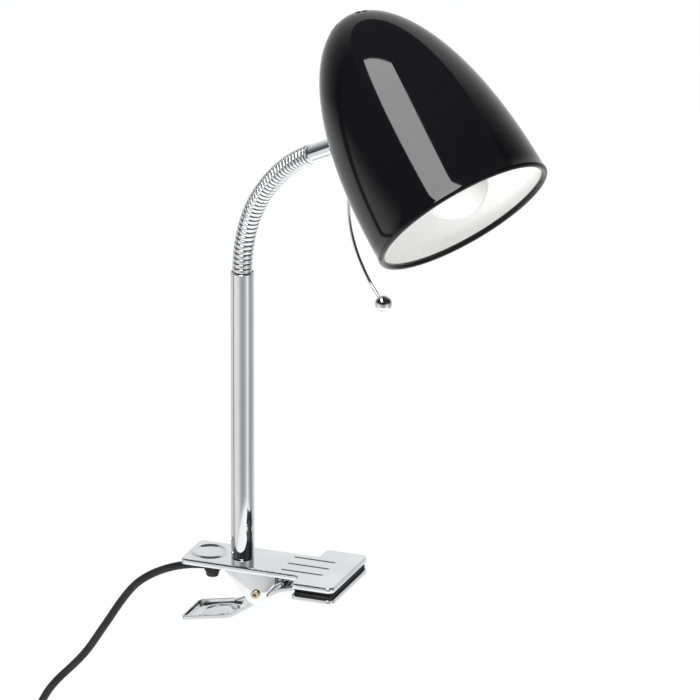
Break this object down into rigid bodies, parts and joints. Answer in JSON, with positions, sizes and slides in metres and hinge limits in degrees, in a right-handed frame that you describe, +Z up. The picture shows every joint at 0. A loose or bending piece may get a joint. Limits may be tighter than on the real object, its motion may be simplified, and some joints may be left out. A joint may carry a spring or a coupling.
{
  "type": "clip-on reading lamp",
  "caption": "Clip-on reading lamp: spring clamp with rubber-lined jaws, chrome post, flexible neck, bullet-shaped black shade with a golf-ball bulb, and a mains lead.",
  "frame": {"origin": "centre of the upper jaw pad's gripping face, on top of the board that the clamp holds", "axes": "+X from the handles to the jaws, +Z up along the post, +Y completes a right-handed frame"},
  "size_m": [0.4218, 0.1746, 0.7089],
  "materials": {
    "chrome": "mirror chrome plate",
    "steel": "zinc plated",
    "brass": "pale brass plate",
    "aluminium": "satin",
    "black_enamel": "gloss black outside, white inside",
    "black_plastic": "satin moulded",
    "black_cord": "soft PVC sheath",
    "rubber": "matt",
    "white_plastic": "satin",
    "opal_glass": "opal"
  },
  "bodies": {
    "stand": {"upper_plate": "chrome", "upper_pad": "rubber", "pivot_rivet": "brass", "clamp_spring": "steel", "post_tube": "chrome", "post_stud": "steel", "post_washer": "steel", "post_nut": "steel", "post_bush": "steel", "inner_lead": "black_plastic", "cord_grip": "black_plastic", "cord_upper": "black_cord", "switch_base": "black_plastic", "switch_cover": "black_plastic", "cord_lower": "black_cord", "cord_coil": "black_cord", "coil_tie": "black_plastic", "plug_body": "black_plastic", "plug_pin_1": "steel", "plug_pin_2": "steel"},
    "lower_jaw": {"lower_plate": "chrome", "lower_pad": "rubber", "spring_leg": "steel"},
    "neck_foot": {"neck_base": "chrome"},
    "neck_low": {"neck_link_low": "chrome"},
    "neck_mid": {"neck_link_mid": "chrome"},
    "head": {"neck_top": "chrome", "ferrule": "chrome", "joint_collar": "chrome", "joint_nut": "steel", "shade": "black_enamel", "holder_bracket": "steel", "holder_nut": "steel", "lamp_holder": "white_plastic", "bulb_cap": "aluminium", "bulb_glass": "opal_glass", "grip_wire": "chrome", "grip_ball": "chrome", "wire_nut": "steel"},
    "rocker": {"switch_rocker": "black_plastic"}
  },
  "joints": [
    {"name": "jaw_open", "type": "hinge", "parent": "stand", "child": "lower_jaw", "pos_m": [-0.041, 0, -0.0108], "axis": [0, 1, 0], "range_deg": [0, 24], "stiffness_Nm_per_rad": 0.8, "springref_deg": -34.38},
    {"name": "neck_swing", "type": "hinge", "parent": "stand", "child": "neck_foot", "pos_m": [-0.056, 0, 0.1892], "axis": [0, 0, 1], "range_deg": [-90, 90]},
    {"name": "neck_bend_1", "type": "hinge", "parent": "neck_foot", "child": "neck_low", "pos_m": [-0.05323, -0.00142, 0.21293], "axis": [0.4571, 0.8894, 0], "range_deg": [-16, 10]},
    {"name": "neck_bend_2", "type": "hinge", "parent": "neck_low", "child": "neck_mid", "pos_m": [-0.04027, -0.00808, 0.24344], "axis": [0.4571, 0.8894, 0], "range_deg": [-16, 10]},
    {"name": "neck_bend_3", "type": "hinge", "parent": "neck_mid", "child": "head", "pos_m": [-0.0196, -0.01871, 0.26812], "axis": [0.4571, 0.8894, 0], "range_deg": [-16, 10]},
    {"name": "rocker_tilt", "type": "hinge", "parent": "stand", "child": "rocker", "pos_m": [-0.1905, -0.0064, -0.152], "axis": [-1, 0, 0], "range_deg": [0, 14]}
  ],
  "couplings": [
    {"joint": "neck_bend_2", "follows": "neck_bend_1", "ratio": 1},
    {"joint": "neck_bend_3", "follows": "neck_bend_1", "ratio": 1}
  ]
}
